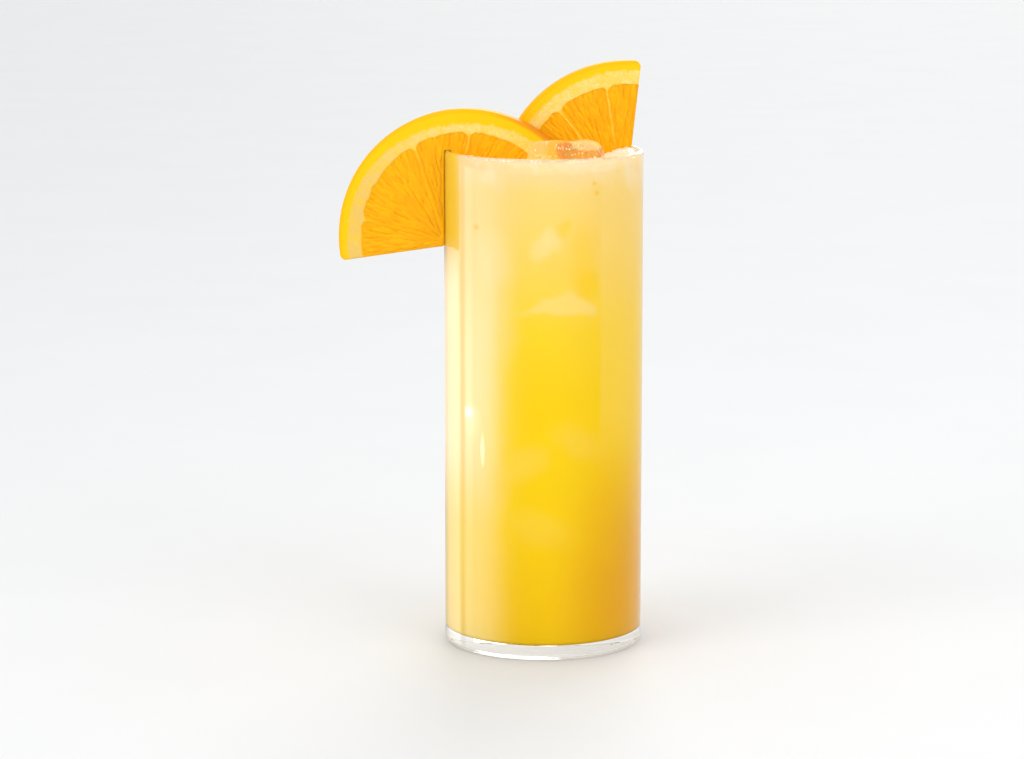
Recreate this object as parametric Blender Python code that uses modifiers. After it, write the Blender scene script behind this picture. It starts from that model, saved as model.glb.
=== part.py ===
"""A tall straight glass of iced orange juice with two half wheels of orange. Metres, +Z up.

The origin is the centre of the glass's underside. -Y is the front. The left half wheel hangs on
the rim by a slit, the right one stands in the drink, and one ice cube rises out of it in front.
"""

import math

import bmesh
import bpy
from mathutils import Matrix, Vector

# The glass
GLASS_RADIUS = 0.030
GLASS_HEIGHT = 0.1507
WALL = 0.0018
BASE_THICKNESS = 0.0043
FOOT_ROUNDING = 0.0016
FLOOR_ROUNDING = 0.0012
TURNED_STEPS = 72

# The drink
LEVEL_BELOW_RIM = 0.0030
MENISCUS = 0.0006
GAP = 0.0003

# The orange wheels, seen from the front. Angles are in degrees, anticlockwise from +X. The
# membranes meet at the core, which lies a little off the wheel's centre.
ZEST = 0.0026
PITH = 0.0045
CORE_RADIUS = 0.0022
MEMBRANE = 0.0009
SLICE_THICKNESS = 0.0055
EDGE_ROUNDING = 0.0005
CORNER_ROUNDING = 0.0017
PULP_RECESS = 0.0004
PULP_ROUNDING = 0.0016
END_SEGMENT = 38.0
WHEEL_STEP = 4.0

LEFT_SLICE = {
    "radius": 0.0392,
    "centre": (-0.0228, -0.0029, 0.1240),
    "yaw": -8.0,
    "roll": 9.2,
    "past_centre": 0.0010,
    "core": (-0.0064, -0.0008),
    "membranes": (44.0, 77.0, 108.0, 166.0),
}
RIGHT_SLICE = {
    "radius": 0.0396,
    "centre": (0.0253, 0.0025, 0.1376),
    "yaw": 0.0,
    "roll": 83.8,
    "past_centre": -0.0004,
    "core": (-0.0020, 0.0),
    "membranes": (98.0, 127.0, 160.0, 194.0, 229.0),
}

# The ice cube that rises out of the drink
ICE_SIZE = (0.0248, 0.0118, 0.0215)
ICE_CENTRE = (0.0054, -0.0164, 0.1449)
ICE_YAW = -8.0
ICE_ROLL = 2.0
ICE_MELT = 0.0009
ICE_ROUNDING = 0.0036
ICE_ROUNDING_STEPS = 3

# Each piece's colour and roughness
SURFACES = {
    "glass": ((0.80, 0.82, 0.80), 0.04),
    "orange_juice": ((0.94, 0.58, 0.05), 0.18),
    "orange_slice_left": ((0.93, 0.47, 0.02), 0.30),
    "orange_slice_right": ((0.93, 0.47, 0.02), 0.30),
    "ice_cube": ((0.93, 0.88, 0.74), 0.12),
}


def new_collection(name):
    collection = bpy.data.collections.new(name)
    bpy.context.scene.collection.children.link(collection)
    return collection


def material(name):
    """The plain material of the named piece."""
    colour, roughness = SURFACES[name]
    made = bpy.data.materials.new(name)
    made.use_nodes = True
    shader = made.node_tree.nodes["Principled BSDF"]
    shader.inputs["Base Color"].default_value = (*colour, 1.0)
    shader.inputs["Roughness"].default_value = roughness
    shader.inputs["Metallic"].default_value = 0.0
    return made


def place(mesh, name, collection):
    made = bpy.data.objects.new(name, mesh)
    collection.objects.link(made)
    return made


def finish(made):
    """Gives a piece its material and smooth shading up to its real edges."""
    made.data.materials.clear()
    made.data.materials.append(material(made.name))
    made.data.shade_smooth()
    made.data.set_sharp_from_angle(angle=math.radians(35.0))


def hide_as_cutter(made):
    made.hide_render = True
    made.display_type = "WIRE"


def arc(centre, radius, start, end, steps):
    """Points on an arc between two angles in degrees, both ends included."""
    angles = [math.radians(start + (end - start) * i / steps) for i in range(steps + 1)]
    return [(centre[0] + radius * math.cos(a), centre[1] + radius * math.sin(a)) for a in angles]


def turned(name, profile, collection):
    """A solid turned about Z from (radius, height) points that run down the outer side."""
    mesh = bpy.data.meshes.new(name)
    points = [(radius, 0.0, height) for radius, height in profile]
    mesh.from_pydata(points, [(i, i + 1) for i in range(len(points) - 1)], [])
    made = place(mesh, name, collection)
    screw = made.modifiers.new("turn", "SCREW")
    screw.steps = TURNED_STEPS
    screw.render_steps = TURNED_STEPS
    screw.use_merge_vertices = True
    screw.merge_threshold = 0.00001
    return made


def from_outline(name, outlines, thickness, collection):
    """A flat plate, or several, from outlines in XY, centred on Z = 0, as a mesh."""
    curve = bpy.data.curves.new(name, "CURVE")
    curve.dimensions = "2D"
    curve.fill_mode = "BOTH"
    curve.extrude = thickness / 2
    for outline in outlines:
        spline = curve.splines.new("POLY")
        spline.points.add(len(outline) - 1)
        for point, (x, y) in zip(spline.points, outline):
            point.co = (x, y, 0.0, 1.0)
        spline.use_cyclic_u = True
    drawn = place(curve, name, collection)
    bpy.context.view_layer.update()
    graph = bpy.context.evaluated_depsgraph_get()
    mesh = bpy.data.meshes.new_from_object(drawn.evaluated_get(graph))
    bpy.data.objects.remove(drawn)
    welded = bmesh.new()
    welded.from_mesh(mesh)
    bmesh.ops.remove_doubles(welded, verts=welded.verts, dist=0.000001)
    bmesh.ops.recalc_face_normals(welded, faces=welded.faces)
    welded.to_mesh(mesh)
    welded.free()
    return place(mesh, name, collection)


def cut(piece, cutter):
    boolean = piece.modifiers.new("cut by " + cutter.name, "BOOLEAN")
    boolean.operation = "DIFFERENCE"
    boolean.solver = "EXACT"
    boolean.object = cutter
    hide_as_cutter(cutter)


def rounded_corner(before, corner, after, radius, steps=4):
    """Points of an arc that rounds the corner between two neighbours."""
    to_before = math.atan2(before[1] - corner[1], before[0] - corner[0])
    to_after = math.atan2(after[1] - corner[1], after[0] - corner[0])
    turn = math.remainder(to_after - to_before, math.tau)
    half = abs(turn) / 2
    away = radius / math.sin(half)
    middle = to_before + turn / 2
    centre = (corner[0] + away * math.cos(middle), corner[1] + away * math.sin(middle))
    side = math.copysign(math.pi / 2 - half, turn)
    first = math.degrees(middle + math.pi + side)
    last = math.degrees(middle + math.pi - side)
    return arc(centre, radius, first, last, steps)


def round_corners(outline, radius, corners):
    """The outline with the points numbered in corners replaced by arcs."""
    rounded = []
    for i, point in enumerate(outline):
        if i in corners:
            following = outline[(i + 1) % len(outline)]
            rounded += rounded_corner(outline[i - 1], point, following, radius)
        else:
            rounded.append(point)
    return rounded


def glass_profile():
    outer = GLASS_RADIUS
    inner = GLASS_RADIUS - WALL
    floor = BASE_THICKNESS
    lip = WALL / 2
    profile = [(0.0, floor)]
    profile += arc((inner - FLOOR_ROUNDING, floor + FLOOR_ROUNDING), FLOOR_ROUNDING, -90, 0, 4)
    profile += arc((inner + lip, GLASS_HEIGHT - lip), lip, 180, 0, 6)
    profile += arc((outer - FOOT_ROUNDING, FOOT_ROUNDING), FOOT_ROUNDING, 0, -90, 4)
    profile.append((0.0, 0.0))
    return profile


def drink_profile(level):
    side = GLASS_RADIUS - WALL - GAP
    floor = BASE_THICKNESS + GAP
    corner = FLOOR_ROUNDING
    profile = [(0.0, level), (side - 2 * MENISCUS, level), (side, level + MENISCUS)]
    profile += arc((side - corner, floor + corner), corner, 0, -90, 4)
    profile.append((0.0, floor))
    return profile


def wall_slit_profile():
    """The glass's wall with a gap all round, taller than any slice reaches down."""
    inner = GLASS_RADIUS - WALL - GAP
    outer = GLASS_RADIUS + GAP
    low = GLASS_HEIGHT - 0.060
    high = GLASS_HEIGHT + GAP
    return [(inner, low), (inner, high), (outer, high), (outer, low), (inner, low)]


def slice_pose(slice_):
    """Stands a wheel drawn in XY upright, facing -Y, then turns it to its yaw."""
    upright = Matrix.Rotation(math.radians(90), 4, "X")
    yaw = Matrix.Rotation(math.radians(slice_["yaw"]), 4, "Z")
    return Matrix.Translation(slice_["centre"]) @ yaw @ upright


def half_wheel_outline(slice_, grow=0.0):
    """The half wheel's outline: its flat cut, then the peel's arc, with both corners rounded."""
    radius = slice_["radius"] + grow
    drop = math.degrees(math.asin((slice_["past_centre"] + grow) / radius))
    start = slice_["roll"] - drop
    end = slice_["roll"] + 180 + drop
    steps = round((end - start) / WHEEL_STEP)
    outline = arc((0.0, 0.0), radius, start, end, steps)
    return round_corners(outline, CORNER_ROUNDING + grow, (0, steps))


def membrane_side(slice_, angle, side, reach):
    """A point on one side of the membrane at an angle, at a reach from the wheel's centre."""
    along = Vector((math.cos(math.radians(angle)), math.sin(math.radians(angle))))
    start = Vector(slice_["core"]) + side * MEMBRANE / 2 * Vector((-along.y, along.x))
    ahead = start.dot(along)
    return start + along * (math.sqrt(ahead**2 - start.length_squared + reach**2) - ahead)


def segment_outline(slice_, first, last):
    """One pulp segment between two membranes, as a wedge with rounded outer corners."""
    outer = slice_["radius"] - ZEST - PITH
    corners = (
        membrane_side(slice_, first, 1, outer),
        membrane_side(slice_, last, -1, outer),
    )
    start, end = (math.degrees(math.atan2(corner.y, corner.x)) for corner in corners)
    steps = max(3, round((end - start) % 360 / (2 * WHEEL_STEP)))
    wedge = arc((0.0, 0.0), outer, start, start + (end - start) % 360, steps)
    inset = math.degrees(math.asin(MEMBRANE / 2 / CORE_RADIUS))
    wedge += arc(slice_["core"], CORE_RADIUS, last - inset, first + inset, 1)
    return round_corners(wedge, PULP_ROUNDING, (0, steps))


def pulp_segments(slice_):
    """Outlines of every segment. The first and last run out past the flat cut."""
    marks = slice_["membranes"]
    edges = (marks[0] - END_SEGMENT, *marks, marks[-1] + END_SEGMENT)
    return [segment_outline(slice_, a, b) for a, b in zip(edges, edges[1:])]


def half_wheel(name, slice_, pieces, cutters):
    """A half wheel of orange whose pulp lies a little below its membranes and rind."""
    pose = slice_pose(slice_)
    wheel = from_outline(name, [half_wheel_outline(slice_)], SLICE_THICKNESS, pieces)
    wheel.matrix_world = pose
    bevel = wheel.modifiers.new("peel edge", "BEVEL")
    bevel.width = EDGE_ROUNDING
    bevel.segments = 2
    bevel.limit_method = "ANGLE"
    bevel.angle_limit = math.radians(40.0)
    for side, label in ((1, "front"), (-1, "back")):
        pulp = from_outline(
            f"{name}_{label}_pulp", pulp_segments(slice_), 2 * PULP_RECESS, cutters
        )
        face = Matrix.Translation((0.0, 0.0, side * SLICE_THICKNESS / 2))
        pulp.matrix_world = pose @ face
        cut(wheel, pulp)
    finish(wheel)
    return wheel


def slice_clearance(name, slice_, cutters):
    room = from_outline(
        name, [half_wheel_outline(slice_, GAP)], SLICE_THICKNESS + 2 * GAP, cutters
    )
    room.matrix_world = slice_pose(slice_)
    return room


def ice_block(name, grow, collection):
    """A cube of ice worn by melting: its corners drawn in unevenly, then rounded."""
    mesh = bpy.data.meshes.new(name)
    block = bmesh.new()
    bmesh.ops.create_cube(block, size=1.0)
    for i, corner in enumerate(block.verts):
        worn = 1.0 + math.sin(2.4 * i + 0.7)
        for axis in range(3):
            half = ICE_SIZE[axis] / 2 - ICE_MELT * worn / 2 + grow
            corner.co[axis] = math.copysign(half, corner.co[axis])
    block.to_mesh(mesh)
    block.free()
    made = place(mesh, name, collection)
    made.location = ICE_CENTRE
    made.rotation_euler = (0.0, math.radians(ICE_ROLL), math.radians(ICE_YAW))
    bevel = made.modifiers.new("melted edges", "BEVEL")
    bevel.width = ICE_ROUNDING
    bevel.segments = ICE_ROUNDING_STEPS
    return made


def build():
    for old in list(bpy.data.objects):
        bpy.data.objects.remove(old)
    pieces = new_collection("glass_of_orange_juice")
    cutters = new_collection("cutters")

    glass = turned("glass", glass_profile(), pieces)
    finish(glass)

    left = half_wheel("orange_slice_left", LEFT_SLICE, pieces, cutters)
    half_wheel("orange_slice_right", RIGHT_SLICE, pieces, cutters)
    cut(left, turned("rim_slit", wall_slit_profile(), cutters))

    finish(ice_block("ice_cube", 0.0, pieces))

    drink = turned("orange_juice", drink_profile(GLASS_HEIGHT - LEVEL_BELOW_RIM), pieces)
    finish(drink)
    cut(drink, slice_clearance("room_for_left_slice", LEFT_SLICE, cutters))
    cut(drink, slice_clearance("room_for_right_slice", RIGHT_SLICE, cutters))
    cut(drink, ice_block("room_for_ice", GAP, cutters))


build()
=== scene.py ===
"""Looks for the glass of iced orange juice with two half wheels of orange. Metres, +Z up.

The frame's origin is the centre of the glass's underside and -Y is the front. Sizes repeat the
named values of the part's source, so that each piece here lies where its solid does.
"""

import math

import bmesh
import bpy
import numpy as np
from mathutils import Matrix, Vector, noise
from mathutils.geometry import delaunay_2d_cdt


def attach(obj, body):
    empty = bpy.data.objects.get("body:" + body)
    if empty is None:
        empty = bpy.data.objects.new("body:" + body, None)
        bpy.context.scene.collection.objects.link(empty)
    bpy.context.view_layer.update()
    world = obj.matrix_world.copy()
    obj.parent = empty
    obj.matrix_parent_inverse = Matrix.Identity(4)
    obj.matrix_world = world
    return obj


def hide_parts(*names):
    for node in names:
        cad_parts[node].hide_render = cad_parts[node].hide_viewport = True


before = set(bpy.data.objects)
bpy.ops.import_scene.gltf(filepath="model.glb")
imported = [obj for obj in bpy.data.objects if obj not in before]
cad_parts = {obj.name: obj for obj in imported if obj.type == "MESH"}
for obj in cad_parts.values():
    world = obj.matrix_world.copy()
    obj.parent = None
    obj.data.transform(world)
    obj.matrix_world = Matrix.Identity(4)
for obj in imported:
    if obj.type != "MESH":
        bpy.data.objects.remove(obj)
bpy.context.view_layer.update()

MM = 0.001

# The glass
GLASS_RADIUS = 0.030
GLASS_HEIGHT = 0.1507
WALL = 0.0018
INNER_RADIUS = GLASS_RADIUS - WALL
BASE_THICKNESS = 0.0043
FOOT_ROUNDING = 0.0016
FLOOR_ROUNDING = 0.0012
TURNED_STEPS = 192

# The drink. It reaches a little into the wall, so that no film of air shows between the two. Under
# it the clear foot mirrors within itself, so there it stands a hair above the glass's floor.
LEVEL = GLASS_HEIGHT - 0.0030
MENISCUS = 0.0006
FROTH_COLLAR = 0.0013
INTO_WALL = 0.00005
FLOOR_FILM = 0.00006
SLIT_GAP = 0.00007

# The orange wheels, as in the part's source
ZEST = 0.0026
PITH = 0.0045
CORE_RADIUS = 0.0022
MEMBRANE = 0.0009
SLICE_THICKNESS = 0.0055
EDGE_ROUNDING = 0.0005
CORNER_ROUNDING = 0.0017
SLIT_ROUNDING = 0.0007
PULP_ROUNDING = 0.0016
PULP_FLOOR = 0.00062
END_SEGMENT = 38.0
WHEEL_TRIM = 0.00002
LEAST_DEPTH = 0.000002

LEFT_SLICE = {
    "radius": 0.0392,
    "centre": (-0.0228, -0.0029, 0.1240),
    "yaw": -8.0,
    "roll": 9.2,
    "past_centre": 0.0010,
    "core": (-0.0064, -0.0008),
    "membranes": (44.0, 77.0, 108.0, 166.0),
    "membranes_fade": (0.020, 0.031),
    "membranes_show": 0.8,
    "thick_zest": (0.0017, 98.0),
    # Painted shade on the peel's edge: full below the second angle, none past the first
    "painted_peel_shade": (84.0, 58.0),
    "dull_pith": (70.0, 170.0),
    "slit": True,
    "seed": 3,
}
RIGHT_SLICE = {
    "radius": 0.0396,
    "centre": (0.0253, 0.0025, 0.1376),
    "yaw": 0.0,
    "roll": 83.8,
    "past_centre": -0.0004,
    "core": (-0.0020, 0.0),
    "membranes": (98.0, 127.0, 160.0, 194.0, 229.0),
    "membranes_fade": (0.004, 0.028),
    "membranes_show": 0.9,
    "thick_zest": (0.0004, 130.0),
    "painted_peel_shade": (-180.0, -181.0),
    "dull_pith": (400.0, 401.0),
    "slit": False,
    "seed": 11,
}

# The ice cube that rises out of the drink
ICE_SIZE = (0.0248, 0.0118, 0.0215)
ICE_CENTRE = (0.0054, -0.0164, 0.1449)
ICE_YAW = -8.0
ICE_ROLL = 2.0
ICE_MELT = 0.0009
ICE_LEAN = 0.0018
ICE_ROUNDING = 0.0036
ICE_HEART_DEPTH = 0.0024

# The photograph's camera. Its place and turns are fitted, so that no lens shift is needed
CAMERA_PLACE = (0.0, -1.01007, 0.25677)
CAMERA_TILT = 0.17289
CAMERA_YAW = 0.00946
SENSOR = 36.0
FOCAL_PIXELS = 3371.4
IMAGE_WIDTH = 1024

# How much the drink glows round the ice, where light that has come through it would show
POCKET_GLOW = 0.12

# How strongly the underside of the glass glows: a painted glow, in place of the light that the heavy foot
# gathers
FOOT_GLOW = 0.11

# The share of the light from the drink that leaves the wall at the first try
WALL_PASS = 0.74

# The studio: an even sky, and reflector cards that the glass mirrors from low round it. A card's
# strength is given by its direction, in degrees from the camera's side
SKY = 0.90
CARDS = (
    (-180.0, 0.9),
    (-168.0, 1.0),
    (-154.0, 1.3),
    (-138.0, 2.6),
    (-130.0, 3.4),
    (-118.0, 4.8),
    (-113.0, 3.6),
    (-110.0, 2.0),
    (-106.0, 2.6),
    (-101.0, 5.6),
    (-94.0, 6.0),
    (-88.0, 4.6),
    (-80.0, 5.0),
    (-65.0, 4.2),
    (-52.0, 2.1),
    (-40.0, 0.9),
    (-27.0, 0.25),
    (-12.0, 0.05),
    (0.0, 0.04),
    (60.0, 0.04),
    (69.0, 0.10),
    (100.0, 0.35),
    (132.0, 0.75),
    (154.0, 0.8),
    (180.0, 0.8),
)
BRIGHTEST_CARD = 6.0

# Two small lamps that the wall mirrors: degrees, how far down, half sizes and strength
SPARKS = (
    (-97.0, -0.1818, 10.0, 0.0026, 7.0),
    (-92.0, -0.1840, 16.0, 0.0070, 1.5),
    (-75.0, -0.1930, 3.5, 0.0050, 7.0),
)


# Node trees


class Wire:
    """One socket of a node tree. Arithmetic on it adds Math nodes to the same tree."""

    def __init__(self, recipe, socket):
        self.recipe = recipe
        self.socket = socket

    def __add__(self, other):
        return self.recipe.math("ADD", self, other)

    def __radd__(self, other):
        return self.recipe.math("ADD", other, self)

    def __sub__(self, other):
        return self.recipe.math("SUBTRACT", self, other)

    def __rsub__(self, other):
        return self.recipe.math("SUBTRACT", other, self)

    def __mul__(self, other):
        return self.recipe.math("MULTIPLY", self, other)

    def __rmul__(self, other):
        return self.recipe.math("MULTIPLY", other, self)

    def __truediv__(self, other):
        return self.recipe.math("DIVIDE", self, other)

    def __pow__(self, other):
        return self.recipe.math("POWER", self, other)


class Recipe:
    """A node tree being written: a material's, the world's or a Geometry Nodes tree."""

    def __init__(self, tree):
        self.tree = tree
        tree.nodes.clear()

    def node(self, kind, settings=None, values=None, output=0):
        """Adds a node, sets it, then feeds its sockets by name or number."""
        made = self.tree.nodes.new(kind)
        for name, value in (settings or {}).items():
            if name == "stops":
                set_stops(made.color_ramp, value)
            else:
                setattr(made, name, value)
        for name, value in (values or {}).items():
            if isinstance(value, Wire):
                self.tree.links.new(value.socket, made.inputs[name])
            else:
                made.inputs[name].default_value = value
        return Wire(self, made.outputs[output]) if made.outputs else None

    def math(self, operation, *values, clamp=False):
        settings = {"operation": operation, "use_clamp": clamp}
        return self.node("ShaderNodeMath", settings, dict(enumerate(values)))

    def vector(self, operation, *values, output=0):
        settings = {"operation": operation}
        return self.node("ShaderNodeVectorMath", settings, dict(enumerate(values)), output)

    def place(self, scale=1.0):
        """The point on the piece, in millimetres times the scale."""
        coordinates = self.node("ShaderNodeTexCoord", output="Object")
        factor = 1000.0 * scale
        return self.vector("MULTIPLY", coordinates, (factor, factor, factor))

    def split(self, vector):
        parts = self.node("ShaderNodeSeparateXYZ", values={0: vector})
        outputs = parts.socket.node.outputs
        return [Wire(self, outputs[axis]) for axis in range(3)]

    def join(self, x, y, z):
        return self.node("ShaderNodeCombineXYZ", values={0: x, 1: y, 2: z})

    def attribute(self, name):
        return self.node("ShaderNodeAttribute", {"attribute_name": name}, output="Fac")

    def smooth(self, value, start, end):
        """0 up to start and 1 from end on, with a smooth step between; also falling."""
        values = {"Value": value, "From Min": min(start, end), "From Max": max(start, end)}
        if start > end:
            values.update({"To Min": 1.0, "To Max": 0.0})
        return self.node("ShaderNodeMapRange", {"interpolation_type": "SMOOTHSTEP"}, values)

    def noise(self, vector, scale=1.0, detail=2.0, roughness=0.5):
        values = {"Vector": vector, "Scale": scale, "Detail": detail, "Roughness": roughness}
        return self.node("ShaderNodeTexNoise", values=values)

    def cells(self, vector, scale=1.0, feature="F1"):
        settings = {"feature": feature}
        return self.node("ShaderNodeTexVoronoi", settings, {"Vector": vector, "Scale": scale})

    def mix(self, share, first, second):
        """From the first colour to the second."""
        values = {0: share, 6: colour_value(first), 7: colour_value(second)}
        return self.node("ShaderNodeMix", {"data_type": "RGBA"}, values, output=2)

    def ramp(self, value, stops):
        return self.node("ShaderNodeValToRGB", {"stops": stops}, {0: value})

    def bump(self, height, strength, distance):
        values = {"Height": height, "Strength": strength, "Distance": distance}
        return self.node("ShaderNodeBump", values=values)

    def noise_colour(self, vector, scale):
        values = {"Vector": vector, "Scale": scale, "Detail": 2.0}
        return self.node("ShaderNodeTexNoise", values=values, output="Color")

    def surface(self, values):
        shader = self.node("ShaderNodeBsdfPrincipled", values=values)
        self.node("ShaderNodeOutputMaterial", values={"Surface": shader})

    def give(self, geometry, material):
        """Ends a Geometry Nodes tree: real faces with their material."""
        real = self.node("GeometryNodeRealizeInstances", values={"Geometry": geometry})
        values = {"Geometry": real, "Material": material}
        done = self.node("GeometryNodeSetMaterial", values=values)
        self.node("NodeGroupOutput", values={"Geometry": done})


def set_stops(ramp, stops):
    while len(ramp.elements) > 1:
        ramp.elements.remove(ramp.elements[-1])
    for number, (position, colour) in enumerate(stops):
        stop = ramp.elements[0] if number == 0 else ramp.elements.new(position)
        stop.position = position
        stop.color = colour


def colour_value(colour):
    return colour if isinstance(colour, Wire) else (*colour[:3], 1.0)


def rgb(red, green, blue):
    """A colour of 0 to 255 values, as light."""
    shares = [channel / 255 for channel in (red, green, blue)]
    return tuple(s / 12.92 if s <= 0.04045 else ((s + 0.055) / 1.055) ** 2.4 for s in shares) + (1.0,)


def behind_glass(red, green, blue):
    """A paint that shows as this colour through the wall, which mirrors much light back in."""
    seen = rgb(red, green, blue)[:3]
    return tuple(s / (WALL_PASS + (1 - WALL_PASS) * s) for s in seen) + (1.0,)


def new_material(name):
    made = bpy.data.materials.new(name)
    made.use_nodes = True
    return made, Recipe(made.node_tree)


# Materials


def clear_glass():
    """Thin clear glass with a faint draw in its wall and a trace of handling.

    Its underside has a painted glow, in place of the light that its heavy foot gathers."""
    made, recipe = new_material("clear glass")
    place = recipe.place()
    draw = recipe.noise(recipe.vector("MULTIPLY", place, (1.0, 1.0, 0.12)), 0.16, 1.0)
    smear = recipe.noise(place, 0.11, 3.0)
    _, _, z = recipe.split(place)
    foot = recipe.smooth(z, 4.7, 4.2)
    # Painted glow: the underside gives out light, in place of light gathered in the foot.
    underside = recipe.smooth(z, 0.2, 0.05)
    recipe.surface(
        {
            "Base Color": recipe.mix(foot, (1.0, 1.0, 1.0), (0.80, 0.80, 0.79)),
            "Roughness": recipe.smooth(smear, 0.45, 0.8) * 0.02,
            "IOR": 1.5,
            "Transmission Weight": 1.0,
            "Normal": recipe.bump(draw, 0.12, 0.0004),
            "Emission Color": recipe.mix(underside, (0.0, 0.0, 0.0), (1.0, 0.98, 0.92)),
            "Emission Strength": FOOT_GLOW,
        }
    )
    made.cycles.emission_sampling = "NONE"
    return made


def soft_lump(recipe, place, centre, size, turn):
    """A patch that fades from 1 at its centre to 0 at its size."""
    settings = {"vector_type": "TEXTURE"}
    values = {
        "Vector": place,
        "Location": centre,
        "Rotation": (0.0, math.radians(turn), 0.0),
        "Scale": size,
    }
    inside = recipe.node("ShaderNodeMapping", settings, values)
    x, y, z = recipe.split(inside)
    far = recipe.math("SQRT", x * x + y * y + z * z)
    return recipe.smooth(far, 1.0, 0.25)


def sunk_wedge(recipe, place):
    """A wedge of clear ice behind the front of the drink: flat below, with a ridge above."""
    x, y, z = recipe.split(place)
    ridge = z + recipe.math("ABSOLUTE", x - 6.8) * 0.55
    mask = recipe.smooth(z, 103.4, 105.4) * recipe.smooth(ridge, 113.4, 110.4)
    return mask * recipe.smooth(x, 17.0, 14.0) * recipe.smooth(y, -10.0, -16.0)


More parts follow.
